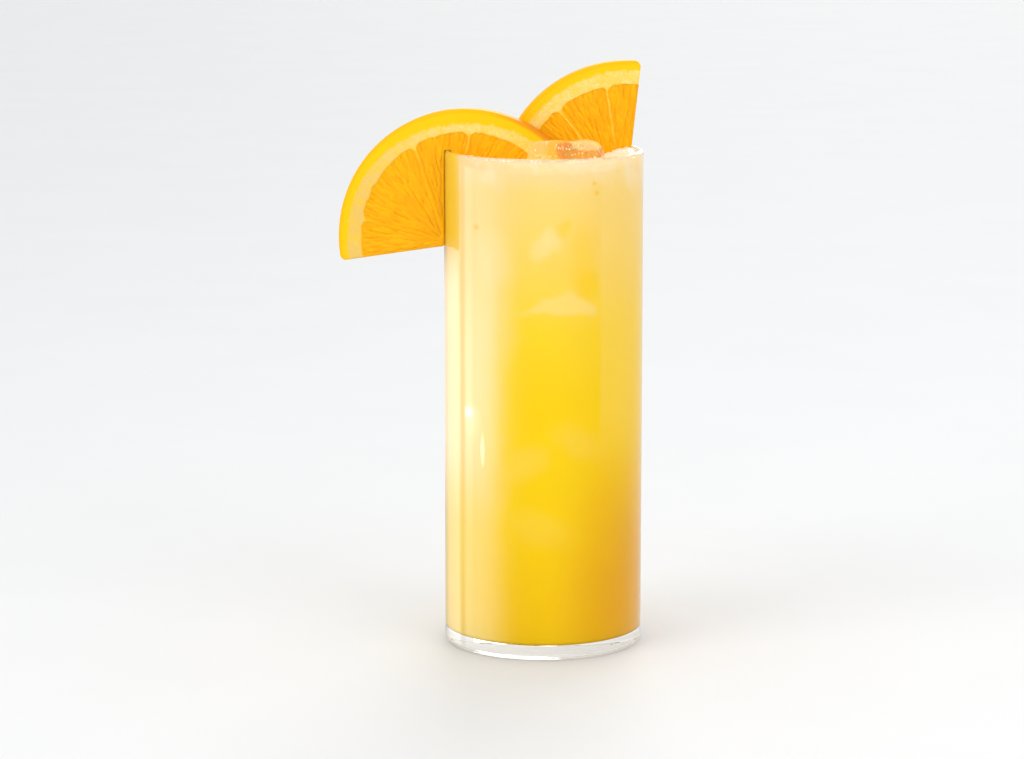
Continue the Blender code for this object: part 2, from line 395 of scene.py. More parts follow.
def juice():
    """Cloudy juice: froth at the top, then milky with melting ice, then clean and deeper."""
    made, recipe = new_material("cloudy orange juice")
    place = recipe.place()
    x, y, z = recipe.split(place)
    drift = recipe.noise(place, 0.045, 3.0) - 0.5
    wisps = recipe.noise(recipe.vector("MULTIPLY", place, (1.0, 1.0, 0.55)), 0.14, 4.0) - 0.5
    height = z + drift * 10.0 + wisps * 5.0
    body = recipe.ramp(
        height / 150.0,
        [
            (0.03, behind_glass(243, 190, 4)),
            (0.30, behind_glass(250, 206, 4)),
            (0.52, behind_glass(252, 210, 6)),
            (0.66, behind_glass(252, 213, 40)),
            (0.80, behind_glass(252, 214, 92)),
            (0.95, behind_glass(252, 217, 124)),
        ],
    )
    # Painted light and reflection: the drink's left side is painted paler and yellower, as if lit from the
    # left, more so higher up.
    edge = x + wisps * 6.0 + recipe.smooth(z, 104.0, 80.0) * 3.0
    painted_left_light = recipe.smooth(edge, -5.0, -17.0)
    painted_left_light = painted_left_light * (0.50 + 0.45 * recipe.smooth(z + drift * 20.0, 34.0, 66.0))
    pale = recipe.mix(recipe.smooth(z, 62.0, 28.0), behind_glass(253, 213, 126), behind_glass(254, 226, 118))
    body = recipe.mix(painted_left_light, body, pale)
    # Painted shade: the drink's right side is painted a deeper orange, as if turned from the light, more so
    # lower down.
    painted_right_shade = recipe.smooth(x + drift * 10.0, 1.0, 25.0)
    painted_right_shade = painted_right_shade * (0.15 + 0.75 * recipe.smooth(z, 75.0, 22.0))
    body = recipe.mix(painted_right_shade, body, behind_glass(228, 160, 10))
    milk = behind_glass(253, 228, 160)
    clean = behind_glass(250, 203, 14)
    lumps = [
        ((11.5, -25.0, 121.0), (6.5, 9.0, 15.0), 0.0, 0.40, clean),
        ((-0.6, -28.0, 123.8), (4.0, 9.0, 6.4), 14.0, 0.48, milk),
        ((2.4, -28.0, 126.6), (4.0, 9.0, 5.4), -20.0, 0.48, milk),
        ((6.0, -28.0, 130.5), (3.0, 8.0, 4.4), 20.0, 0.45, clean),
        ((13.0, -25.5, 113.3), (6.0, 9.0, 5.6), 35.0, 0.60, clean),
        ((-15.0, -24.0, 121.0), (9.0, 9.0, 12.0), 0.0, 0.35, milk),
        ((-2.0, -28.0, 82.0), (15.0, 12.0, 17.0), -20.0, 0.25, clean),
        ((10.5, -26.0, 66.0), (12.0, 12.0, 7.0), 24.0, 0.09, milk),
        ((-4.5, -28.0, 60.0), (10.0, 12.0, 7.0), -30.0, 0.11, milk),
        ((-1.0, -28.0, 40.0), (12.0, 12.0, 8.0), 20.0, 0.08, milk),
    ]
    wobble = recipe.vector("MULTIPLY", recipe.noise_colour(place, 0.12), (5.0, 5.0, 5.0))
    shaken = recipe.vector("ADD", recipe.vector("SUBTRACT", place, (2.5, 2.5, 2.5)), wobble)
    for centre, size, turn, share, tint in lumps:
        body = recipe.mix(soft_lump(recipe, shaken, centre, size, turn) * share, body, tint)
    wedge = sunk_wedge(recipe, shaken)
    body = recipe.mix(wedge * 0.38, body, milk)
    # Painted reflection: the front of the drink is painted a little paler right of about 16 mm, over its upper
    # part, where the wall mirrors a card.
    painted_reflection_right = recipe.smooth(x, 15.6, 17.4) * recipe.smooth(y, -10.0, -16.0)
    painted_reflection_right = painted_reflection_right * recipe.smooth(z, 50.0, 80.0)
    body = recipe.mix(painted_reflection_right * 0.12, body, milk)
    froth_edge = z + wisps * 12.0 + drift * 8.0
    froth = recipe.smooth(froth_edge, 139.0, 147.5)
    bubbles = recipe.cells(place, 1.1)
    patches = recipe.smooth(recipe.noise(place, 0.15, 3.0) + x * 0.004, 0.46, 0.62)
    froth_colour = recipe.mix(patches, behind_glass(252, 218, 150), behind_glass(252, 230, 184))
    froth_colour = recipe.mix(bubbles * 0.5, froth_colour, behind_glass(251, 215, 148))
    body = recipe.mix(froth * 0.85, body, froth_colour)
    heap = recipe.smooth(z + wisps * 2.0, 148.6, 150.2)
    body = recipe.mix(heap, body, rgb(249, 222, 184))
    body = near_slice(recipe, place, body)
    # Painted glow: the drink gives out light round the ice's pocket, in place of light that comes in through
    # the ice.
    pocket = recipe.smooth(recipe.math("ABSOLUTE", x - 5.4), 14.0, 13.4)
    pocket = pocket * recipe.smooth(recipe.math("ABSOLUTE", y + 16.4), 7.4, 7.0)
    pocket = pocket * recipe.smooth(z, 148.2, 147.6) * recipe.smooth(z, 133.4, 134.0)
    from_axis = recipe.math("SQRT", x * x + y * y)
    pocket = pocket * recipe.smooth(from_axis, 28.0, 27.8)
    for centre, size in (
        ((15.3, -24.1, 140.3), 1.1),
        ((14.6, -24.5, 143.2), 0.9),
        ((-19.4, -20.4, 129.8), 1.3),
    ):
        speck = soft_lump(recipe, place, centre, (size, 3.0, size), 0.0)
        body = recipe.mix(speck * 0.75, body, behind_glass(249, 190, 60))
    grain = recipe.noise(place, 0.9, 3.0)
    recipe.surface(
        {
            "Base Color": body,
            "Roughness": 0.22 + grain * 0.2,
            "Specular IOR Level": 0.15,
            "Normal": recipe.bump(bubbles, 0.04, 0.0003),
            "Emission Color": recipe.mix(pocket, (0.0, 0.0, 0.0), (0.95, 0.70, 0.28)),
            "Emission Strength": POCKET_GLOW,
        }
    )
    made.cycles.emission_sampling = "NONE"
    return made


def near_slice(recipe, place, body):
    """The left half wheel's pulp showing through the drink, less the further behind it lies."""
    yaw = math.radians(LEFT_SLICE["yaw"])
    front = [1000 * c for c in LEFT_SLICE["centre"]]
    x, y, z = recipe.split(place)
    level = x * math.sin(yaw) - y * math.cos(yaw)
    plane = front[0] * math.sin(yaw) - front[1] * math.cos(yaw) + 500 * SLICE_THICKNESS
    behind = level - plane
    here = recipe.smooth(behind, -7.0, -5.0) * recipe.smooth(behind, 11.5, 6.0)
    here = here * recipe.smooth(z, 117.0, 127.0) * recipe.smooth(x, -12.0, -20.0)
    return recipe.mix(here * 0.95, body, behind_glass(251, 203, 52))


def orange_slice():
    """A cut orange: pored zest, fibrous pith, and pulp with streaks that run to the core."""
    made, recipe = new_material("cut orange")
    place = recipe.place()
    wander = recipe.noise(place, 0.7, 4.0) - 0.5
    blotches = recipe.noise(place, 0.30, 2.0)
    pulp = recipe.smooth(recipe.attribute("pulp_depth") + wander * 0.7, -0.42, -0.05)
    zest = recipe.smooth(recipe.attribute("zest_depth") + wander * 2.2, -0.75, 0.35)
    peel_depth = recipe.attribute("peel_depth")
    streak = recipe.noise(
        recipe.join(recipe.attribute("heading") * 16.0, recipe.attribute("reach") * 0.10, 0.0), 1.0, 3.0
    )
    fibres = recipe.noise(place, 1.7, 4.0)
    skin = recipe.mix(recipe.smooth(peel_depth, 0.1, 1.6), rgb(250, 184, 4), rgb(252, 198, 8))
    # Painted shade: the peel's edge is painted a deeper orange where it turns from the light, on the left
    # wheel's upper right.
    skin = recipe.mix(recipe.attribute("painted_peel_shade") * recipe.smooth(peel_depth, 1.5, 0.2), skin, rgb(232, 140, 16))
    soft = recipe.mix(recipe.smooth(fibres, 0.35, 0.7), rgb(244, 208, 104), rgb(250, 222, 134))
    soft = recipe.mix(recipe.attribute("dull") * 0.8, soft, rgb(228, 186, 92))
    soft = recipe.mix(recipe.smooth(blotches, 0.42, 0.62) * 0.5, soft, rgb(250, 200, 48))
    flesh = recipe.mix(recipe.smooth(streak, 0.3, 0.75), rgb(242, 167, 0), rgb(247, 183, 1))
    between = recipe.mix(recipe.attribute("membrane"), flesh, rgb(252, 208, 78))
    colour = recipe.mix(recipe.smooth(recipe.attribute("pith_depth"), 0.0, 0.5), soft, between)
    colour = recipe.mix(zest, colour, skin)
    colour = recipe.mix(pulp, colour, flesh)
    pores = recipe.smooth(recipe.cells(place, 1.05), 0.05, 0.42)
    relief = pores * zest * 0.6 + fibres * (1.0 - zest) * 0.5 + streak * pulp * 0.4
    recipe.surface(
        {
            "Base Color": colour,
            "Roughness": 0.62 - pulp * 0.26 - zest * 0.20,
            "Specular IOR Level": 0.12,
            "Normal": recipe.bump(relief, 0.4, 0.0003),
        }
    )
    return made


def juice_sac():
    """One juice sac: clear orange, paler at its tip, each a little different."""
    made, recipe = new_material("juice sac")
    place = recipe.place()
    tone = recipe.attribute("tone")
    along = recipe.attribute("along")
    grain = recipe.noise(place, 2.2, 3.0)
    flesh = recipe.mix(tone, rgb(242, 167, 0), rgb(247, 181, 1))
    pale = recipe.smooth(along, 0.6, 1.0) * 0.18 + recipe.smooth(grain, 0.5, 0.8) * 0.10
    recipe.surface(
        {
            "Base Color": recipe.mix(pale, flesh, rgb(250, 200, 48)),
            "Roughness": 0.24 + grain * 0.18,
            "Specular IOR Level": 0.14,
            "Normal": recipe.bump(grain, 0.25, 0.0002),
        }
    )
    return made


def melting_ice():
    """Wet clear ice with fine cracks, stained by the juice on one side."""
    made, recipe = new_material("melting ice")
    place = recipe.place()
    ripple = recipe.noise(place, 0.32, 3.0)
    cracks = recipe.smooth(recipe.cells(place, 0.16, "DISTANCE_TO_EDGE"), 0.0, 0.05)
    x, _, _ = recipe.split(place)
    stain = recipe.smooth(x + ripple * 4.0, 1.0, 5.0)
    tint = recipe.mix(stain, (1.0, 0.98, 0.93), (1.0, 0.97, 0.70))
    recipe.surface(
        {
            "Base Color": recipe.mix(cracks, (0.96, 0.93, 0.80), tint),
            "Roughness": 0.10 - cracks * 0.07,
            "IOR": 1.31,
            "Transmission Weight": 0.97,
            "Normal": recipe.bump(ripple, 0.35, 0.0010),
        }
    )
    return made


def froth_bubble():
    """A small bubble skin, pale and wet."""
    made, recipe = new_material("froth bubble")
    place = recipe.place()
    tint = recipe.noise(place, 0.5, 2.0)
    recipe.surface(
        {
            "Base Color": recipe.mix(tint, rgb(253, 230, 184), rgb(255, 244, 222)),
            "Roughness": 0.12 + tint * 0.1,
            "IOR": 1.33,
        }
    )
    return made


# Pieces


def place_mesh(name, mesh, material=None):
    made = bpy.data.objects.new(name, mesh)
    bpy.context.scene.collection.objects.link(made)
    if material:
        mesh.materials.clear()
        mesh.materials.append(material)
    return made


def mesh_from(name, points, faces):
    mesh = bpy.data.meshes.new(name)
    mesh.from_pydata([tuple(p) for p in points], [], [tuple(f) for f in faces])
    return mesh


def close_up(mesh, distance=0.0000005):
    """Merges doubles, turns the faces outwards and shades them smooth."""
    work = bmesh.new()
    work.from_mesh(mesh)
    bmesh.ops.remove_doubles(work, verts=work.verts, dist=distance)
    bmesh.ops.dissolve_degenerate(work, edges=work.edges, dist=distance)
    bmesh.ops.recalc_face_normals(work, faces=work.faces)
    work.to_mesh(mesh)
    work.free()
    mesh.shade_smooth()


def set_values(mesh, name, values):
    attribute = mesh.attributes.new(name, "FLOAT", "POINT")
    attribute.data.foreach_set("value", np.asarray(values, np.float32))


def baked(piece, name, material=None):
    """The piece's evaluated mesh as a plain object, in place of the piece."""
    bpy.context.view_layer.update()
    graph = bpy.context.evaluated_depsgraph_get()
    mesh = bpy.data.meshes.new_from_object(piece.evaluated_get(graph))
    mesh.transform(piece.matrix_world)
    bpy.data.objects.remove(piece)
    mesh.name = name
    return place_mesh(name, mesh, material)


def arc(centre, radius, start, end, steps):
    """Points on an arc between two angles in degrees, both ends included."""
    angles = [math.radians(start + (end - start) * i / steps) for i in range(steps + 1)]
    return [(centre[0] + radius * math.cos(a), centre[1] + radius * math.sin(a)) for a in angles]


def rounded_corner(before, corner, after, radius, steps=8):
    """Points of an arc that rounds the corner between two neighbours."""
    to_before = math.atan2(before[1] - corner[1], before[0] - corner[0])
    to_after = math.atan2(after[1] - corner[1], after[0] - corner[0])
    turn = math.remainder(to_after - to_before, math.tau)
    half = abs(turn) / 2
    away = radius / math.sin(half)
    middle = to_before + turn / 2
    centre = (corner[0] + away * math.cos(middle), corner[1] + away * math.sin(middle))
    side = math.copysign(math.pi / 2 - half, turn)
    first = math.degrees(middle + math.pi + side)
    last = math.degrees(middle + math.pi - side)
    return arc(centre, radius, first, last, steps)


def round_corners(outline, radii):
    """The outline with the points numbered in radii replaced by arcs of those radii."""
    rounded = []
    for i, point in enumerate(outline):
        if i in radii:
            following = outline[(i + 1) % len(outline)]
            rounded += rounded_corner(outline[i - 1], point, following, radii[i])
        else:
            rounded.append(point)
    return rounded


def rounded_arc(radius, start, end, steps, rounding):
    """An arc about the origin whose two ends are corners to round, and their radii."""
    trim = math.degrees(1.35 * rounding / radius)
    outline = arc((0.0, 0.0), radius, start, start, 1)[:1]
    outline += arc((0.0, 0.0), radius, start + trim, end - trim, steps)
    outline += arc((0.0, 0.0), radius, end, end, 1)[:1]
    return outline, {0: rounding, len(outline) - 1: rounding}


def new_tree(name, inputs):
    """An empty Geometry Nodes tree with these named inputs after its geometry."""
    tree = bpy.data.node_groups.new(name, "GeometryNodeTree")
    tree.interface.new_socket("Geometry", in_out="INPUT", socket_type="NodeSocketGeometry")
    tree.interface.new_socket("Geometry", in_out="OUTPUT", socket_type="NodeSocketGeometry")
    for label, kind in inputs:
        tree.interface.new_socket(label, in_out="INPUT", socket_type="NodeSocket" + kind)
    recipe = Recipe(tree)
    start = recipe.node("NodeGroupInput").socket.node
    return recipe, {socket.name: Wire(recipe, socket) for socket in start.outputs if socket.name}


def grow(piece, tree, values):
    """Adds the tree to the piece and sets its named inputs."""
    modifier = piece.modifiers.new(tree.name, "NODES")
    modifier.node_group = tree
    for item in tree.interface.items_tree:
        if item.in_out == "INPUT" and item.name in values:
            modifier[item.identifier] = values[item.name]
    return modifier


def turning_tree():
    """Turns a profile about Z. Its points lie in XZ, from the axis out and back to it."""
    recipe, given = new_tree("turn a profile", [("Steps", "Int"), ("Material", "Material")])
    count = recipe.node(
        "GeometryNodeAttributeDomainSize", {"component": "MESH"}, {"Geometry": given["Geometry"]}
    )
    sheet = recipe.node(
        "GeometryNodeMeshGrid",
        values={"Vertices X": given["Steps"] + 1.0, "Vertices Y": count},
    )
    number = recipe.node("GeometryNodeInputIndex")
    row = recipe.math("MODULO", number, count)
    column = recipe.math("FLOOR", (number + 0.5) / count)
    point = recipe.node(
        "GeometryNodeSampleIndex",
        {"data_type": "FLOAT_VECTOR", "domain": "POINT"},
        {
            "Geometry": given["Geometry"],
            "Value": recipe.node("GeometryNodeInputPosition"),
            "Index": row,
        },
    )
    angle = column * math.tau / given["Steps"]
    radius, _, height = recipe.split(point)
    turned = recipe.join(
        radius * recipe.math("COSINE", angle), radius * recipe.math("SINE", angle), height
    )
    shaped = recipe.node("GeometryNodeSetPosition", values={"Geometry": sheet, "Position": turned})
    merged = recipe.node(
        "GeometryNodeMergeByDistance", values={"Geometry": shaped, "Distance": 0.000001}
    )
    recipe.give(merged, given["Material"])
    return recipe.tree


def turned(name, profile, material, tree):
    points = [(radius, 0.0, height) for radius, height in profile]
    line = bpy.data.meshes.new(name)
    line.from_pydata(points, [(i, i + 1) for i in range(len(points) - 1)], [])
    piece = place_mesh(name + "_profile", line)
    grow(piece, tree, {"Steps": TURNED_STEPS, "Material": material})
    made = baked(piece, name, material)
    close_up(made.data)
    return made


def glass_profile():
    outer = GLASS_RADIUS
    inner = INNER_RADIUS
    floor = BASE_THICKNESS
    lip = WALL / 2
    profile = [(inner * i / 12, floor) for i in range(12)]
    profile += arc((inner - FLOOR_ROUNDING, floor + FLOOR_ROUNDING), FLOOR_ROUNDING, -90, 0, 8)
    top = GLASS_HEIGHT - lip
    profile += [(inner, floor + FLOOR_ROUNDING + (top - floor) * i / 24) for i in range(1, 23)]
    profile += arc((inner + lip, top), lip, 180, 0, 14)
    profile += [(outer, top - (top - FOOT_ROUNDING) * i / 24) for i in range(1, 24)]
    profile += arc((outer - FOOT_ROUNDING, FOOT_ROUNDING), FOOT_ROUNDING, 0, -90, 10)
    profile += [(outer * i / 12, 0.0) for i in range(11, -1, -1)]
    return profile


def drink_profile():
    side = INNER_RADIUS + INTO_WALL
    floor = BASE_THICKNESS - INTO_WALL
    film = BASE_THICKNESS + FLOOR_FILM
    corner = FLOOR_ROUNDING
    profile = [(side * i / 60, LEVEL) for i in range(56)]
    for i in range(1, 8):
        share = i / 7
        profile.append((side * (55 + 5 * share) / 60, LEVEL + MENISCUS * share**2))
    profile += [(side, LEVEL - (LEVEL - floor - corner) * i / 40) for i in range(1, 40)]
    profile += arc((side - corner, floor + corner), corner, 0, -90, 8)
    profile += [(side * i / 12, film) for i in range(11, -1, -1)]
    return profile


# The orange wheels


def slice_pose(slice_):
    """Stands a wheel drawn in XY upright, facing -Y, then turns it to its yaw."""
    upright = Matrix.Rotation(math.radians(90), 4, "X")
    yaw = Matrix.Rotation(math.radians(slice_["yaw"]), 4, "Z")
    return Matrix.Translation(slice_["centre"]) @ yaw @ upright


def wall_crossing(slice_, radius, depth):
    """Where the wheel's plane, at a depth through its thickness, meets the wall on the left."""
    yaw = math.radians(slice_["yaw"])
    start = Vector(slice_["centre"][:2]) + depth * Vector((math.sin(yaw), -math.cos(yaw)))
    along = Vector((math.cos(yaw), math.sin(yaw)))
    ahead = start.dot(along)
    return -ahead - math.sqrt(ahead**2 - start.length_squared + radius**2)


def wheel_outline(slice_):
    """The half wheel's outline: the peel's arc, its flat cut, and the slit for the glass."""
    radius = slice_["radius"]
    drop = math.degrees(math.asin(slice_["past_centre"] / radius))
    start = slice_["roll"] - drop
    end = slice_["roll"] + 180 + drop
    outline, radii = rounded_arc(radius, start, end, 240, CORNER_ROUNDING)
    if slice_["slit"]:
        first, last = Vector(outline[-1]), Vector(outline[0])
        top = GLASS_HEIGHT + SLIT_GAP - slice_["centre"][2]
        for x, order in (
            (wall_crossing(slice_, GLASS_RADIUS + SLIT_GAP, 0.0), ("cut", "top")),
            (wall_crossing(slice_, INNER_RADIUS - SLIT_GAP, 0.0), ("top", "cut")),
        ):
            share = (x - first.x) / (last.x - first.x)
            cut_point = tuple(first.lerp(last, share))
            for what in order:
                if what == "cut":
                    radii[len(outline)] = SLIT_ROUNDING
                outline.append(cut_point if what == "cut" else (x, top))
    return round_corners(outline, radii)


def evenly(outline, spacing):
    """The closed outline with evenly spaced points."""
    loop = np.array(outline + outline[:1])
    travelled = np.concatenate([[0.0], np.cumsum(np.hypot(*np.diff(loop, axis=0).T))])
    count = int(round(travelled[-1] / spacing))
    at = np.linspace(0.0, travelled[-1], count, endpoint=False)
    return np.column_stack([np.interp(at, travelled, loop[:, axis]) for axis in (0, 1)])


def inset(loop, distance):
    """The closed loop moved inwards; it runs anticlockwise."""
    ahead = np.roll(loop, -1, axis=0) - np.roll(loop, 1, axis=0)
    ahead /= np.linalg.norm(ahead, axis=1)[:, None]
    return loop + distance * np.column_stack([-ahead[:, 1], ahead[:, 0]])


def depth_inside(points, outline):
    """How far each point lies inside a closed outline, negative outside it."""
    outline = np.asarray(outline, float)
    side = np.roll(outline, -1, axis=0) - outline
    nearest = np.full(len(points), 1e9)
    inside = np.zeros(len(points), bool)
    for corner, step in zip(outline, side):
        away = points - corner
        share = np.clip(away @ step / max(step @ step, 1e-18), 0, 1)
        gap = away - share[:, None] * step
        nearest = np.minimum(nearest, (gap**2).sum(1))
        above = corner[1] > points[:, 1]
        crosses = above != (corner[1] + step[1] > points[:, 1])
        rise = step[1] if abs(step[1]) > 1e-15 else 1e-15
        meets = step[0] * (points[:, 1] - corner[1]) / rise + corner[0]
        inside ^= crosses & (points[:, 0] < meets)
    return np.where(inside, 1, -1) * np.sqrt(nearest)


def membrane_side(slice_, angle, side, reach):
    """A point on one side of the membrane at an angle, at a reach from the wheel's centre."""
    along = Vector((math.cos(math.radians(angle)), math.sin(math.radians(angle))))
    start = Vector(slice_["core"]) + side * MEMBRANE / 2 * Vector((-along.y, along.x))
    ahead = start.dot(along)
    return start + along * (math.sqrt(ahead**2 - start.length_squared + reach**2) - ahead)


def segment_outline(slice_, first, last):
    """One pulp segment between two membranes, as a wedge with rounded outer corners."""
    outer = slice_["radius"] - ZEST - PITH
    corners = (
        membrane_side(slice_, first, 1, outer),
        membrane_side(slice_, last, -1, outer),
    )
    start, end = (math.degrees(math.atan2(corner.y, corner.x)) for corner in corners)
    wide = (end - start) % 360
    wedge, radii = rounded_arc(outer, start, start + wide, max(4, round(wide / 3)), PULP_ROUNDING)
    spread = math.degrees(math.asin(MEMBRANE / 2 / CORE_RADIUS))
    wedge += arc(slice_["core"], CORE_RADIUS, last - spread, first + spread, 3)
    return round_corners(wedge, radii)


def segments(slice_):
    marks = slice_["membranes"]
    edges = (marks[0] - END_SEGMENT, *marks, marks[-1] + END_SEGMENT)
    return [segment_outline(slice_, a, b) for a, b in zip(edges, edges[1:])]


def smooth_step(values, start, end):
    share = np.clip((values - start) / (end - start), 0, 1)
    return share * share * (3 - 2 * share)


def fill_points(loop, spacing):
    """A triangular grid of points inside the loop, clear of it."""
    low, high = loop.min(0), loop.max(0)
    rows = []
    for row, y in enumerate(np.arange(low[1], high[1], spacing * 0.866)):
        x = np.arange(low[0] + (row % 2) * spacing / 2, high[0], spacing)
        rows.append(np.column_stack([x, np.full(len(x), y)]))
    grid = np.concatenate(rows)
    grid += np.random.default_rng(1).uniform(-0.12, 0.12, grid.shape) * spacing
    return grid[depth_inside(grid, loop) > spacing * 0.6]


def lowest_first(triangle):
    """The triangle begun at its lowest number, so that its place in a sorted list is fixed."""
    start = triangle.index(min(triangle))
    return tuple(triangle[start:] + triangle[:start])


def triangulated(loop, spacing):
    """Points inside the loop joined to it: all points, triangles, and the loop's numbers.

    Triangles outside the loop, in its slit and along its straight edges, are left out."""
    flat = np.concatenate([loop, fill_points(loop, spacing)])
    ring = [(i, (i + 1) % len(loop)) for i in range(len(loop))]
    corners, _, triangles, origins, _, _ = delaunay_2d_cdt(
        [Vector(p) for p in flat / MM], ring, [], 1, 1e-6, True
    )
    places = {source: i for i, found in enumerate(origins) for source in found}
    border = [places[i] for i in range(len(loop))]
    points = np.array([(c.x, c.y) for c in corners]) * MM
    middles = points[np.array(triangles)].mean(axis=1)
    inside = depth_inside(middles, loop) > LEAST_DEPTH
    kept = [lowest_first(t) for t, is_in in zip(triangles, inside) if is_in]
    return points, sorted(kept), border


def wheel_values(slice_, points):
    """What the material and the relief need at each point, in millimetres and radians."""
    seed = slice_["seed"]
    shift = [noise.noise_vector((x * 420, y * 420, seed)) for x, y in points]
    wavy = points + np.array([(v.x, v.y) for v in shift]) * 0.00035
    pulp = np.max([depth_inside(wavy, outline) for outline in segments(slice_)], axis=0)
    core = points - np.array(slice_["core"])
    reach = np.hypot(*core.T)
    around = np.degrees(np.arctan2(points[:, 1], points[:, 0]))
    around = np.where(around < -90, around + 360, around)
    depth = slice_["radius"] - np.hypot(*points.T)
    thick, thick_at = slice_["thick_zest"]
    zest = ZEST + thick * np.exp(-(((around - thick_at) / 40.0) ** 2))
    return {
        "pulp_depth": pulp / MM,
        "peel_depth": depth / MM,
        "zest_depth": (zest - depth) / MM,
        "pith_depth": (depth - ZEST - PITH) / MM,
        "membrane": smooth_step(reach, *slice_["membranes_fade"]) * slice_["membranes_show"],
        # Painted shade on the peel's edge, by the angle round the wheel
        "painted_peel_shade": smooth_step(around, *slice_["painted_peel_shade"]),
        "dull": smooth_step(around, *slice_["dull_pith"]),
        "reach": reach / MM,
        "heading": np.arctan2(core[:, 1], core[:, 0]),
    }


def bend_to_wall(slice_, points):
    """Moves what lies by the slit sideways, so that the slit follows the round wall."""
    if not slice_["slit"]:
        return points
    middle = (GLASS_RADIUS + INNER_RADIUS) / 2
    at = wall_crossing(slice_, middle, 0.0)
    top = GLASS_HEIGHT - slice_["centre"][2]
    depths = np.linspace(-SLICE_THICKNESS / 2, SLICE_THICKNESS / 2, 23)
    moves = [wall_crossing(slice_, middle, float(d)) - at for d in depths]
    move = np.interp(points[:, 2], depths, moves)
    near = np.exp(-(((points[:, 0] - at) / 0.0030) ** 2))
    near *= 1 - smooth_step(points[:, 1], top + 0.001, top + 0.006)
    bent = points.copy()
    bent[:, 0] += move * near
    return bent


def half_wheel(name, slice_, material):
    """The half wheel: two cut faces with sunk pulp, and the side between them."""
    spacing = 0.00042
    outer = inset(evenly(wheel_outline(slice_), 0.00032), WHEEL_TRIM)
    edge = inset(outer, EDGE_ROUNDING)
    count = len(outer)
    flat, triangles, border = triangulated(edge, spacing)
    values = wheel_values(slice_, flat)
    pulp = smooth_step(values["pulp_depth"], -0.38, 0.45)
    fuzz = np.array([noise.noise((x * 900, y * 900, slice_["seed"])) for x, y in flat])
    mid = SLICE_THICKNESS / 2
    bulge = smooth_step(values["peel_depth"], 0.4, 1.5)
    height = mid - PULP_FLOOR * pulp + 0.00006 * fuzz * bulge - 0.00010 * bulge * (1 - pulp)
    total = len(flat)
    points = [np.column_stack([flat, height]), np.column_stack([flat, -height])]
    faces = [tuple(t) for t in triangles]
    faces += [tuple(total + i for i in reversed(t)) for t in triangles]
    side_values = wheel_values(slice_, outer)
    steps = 20
    columns = []
    for k in range(1, steps):
        share = k / steps
        z = mid - 2 * mid * share
        from_face = mid - abs(z)
        rounded = max(0.0, 1 - from_face / EDGE_ROUNDING)
        back = EDGE_ROUNDING * (1 - math.sqrt(max(0.0, 1 - rounded**2)))
        rim = inset(outer, back)
        lifted = np.column_stack([rim, np.full(count, z)])
        columns.append(lifted)
    side = np.concatenate(columns)
    pores = []
    for x, y, z in side:
        near = noise.voronoi((x * 1000, y * 1000, z * 1000))[0][0]
        pores.append(max(0.0, 1 - near / 0.42) ** 2)
    skin = np.hypot(side[:, 0], side[:, 1])
    on_peel = smooth_step(skin, slice_["radius"] - 0.0012, slice_["radius"] - 0.0008)
    shrink = 0.00013 * np.array(pores) * on_peel
    side[:, 0] -= side[:, 0] / skin * shrink
    side[:, 1] -= side[:, 1] / skin * shrink
    points.append(side)
    rows = [[b for b in border]]
    rows += [[2 * total + k * count + i for i in range(count)] for k in range(steps - 1)]
    rows.append([total + b for b in border])
    for upper, lower in zip(rows, rows[1:]):
        for i in range(count):
            j = (i + 1) % count
            faces.append((upper[i], lower[i], lower[j], upper[j]))
    mesh = mesh_from(name, bend_to_wall(slice_, np.concatenate(points)), faces)
    for label in values:
        tiled = [values[label], values[label]] + [side_values[label]] * (steps - 1)
        set_values(mesh, label, np.concatenate(tiled))
    close_up(mesh)
    mesh.transform(slice_pose(slice_))
    return place_mesh(name, mesh, material)


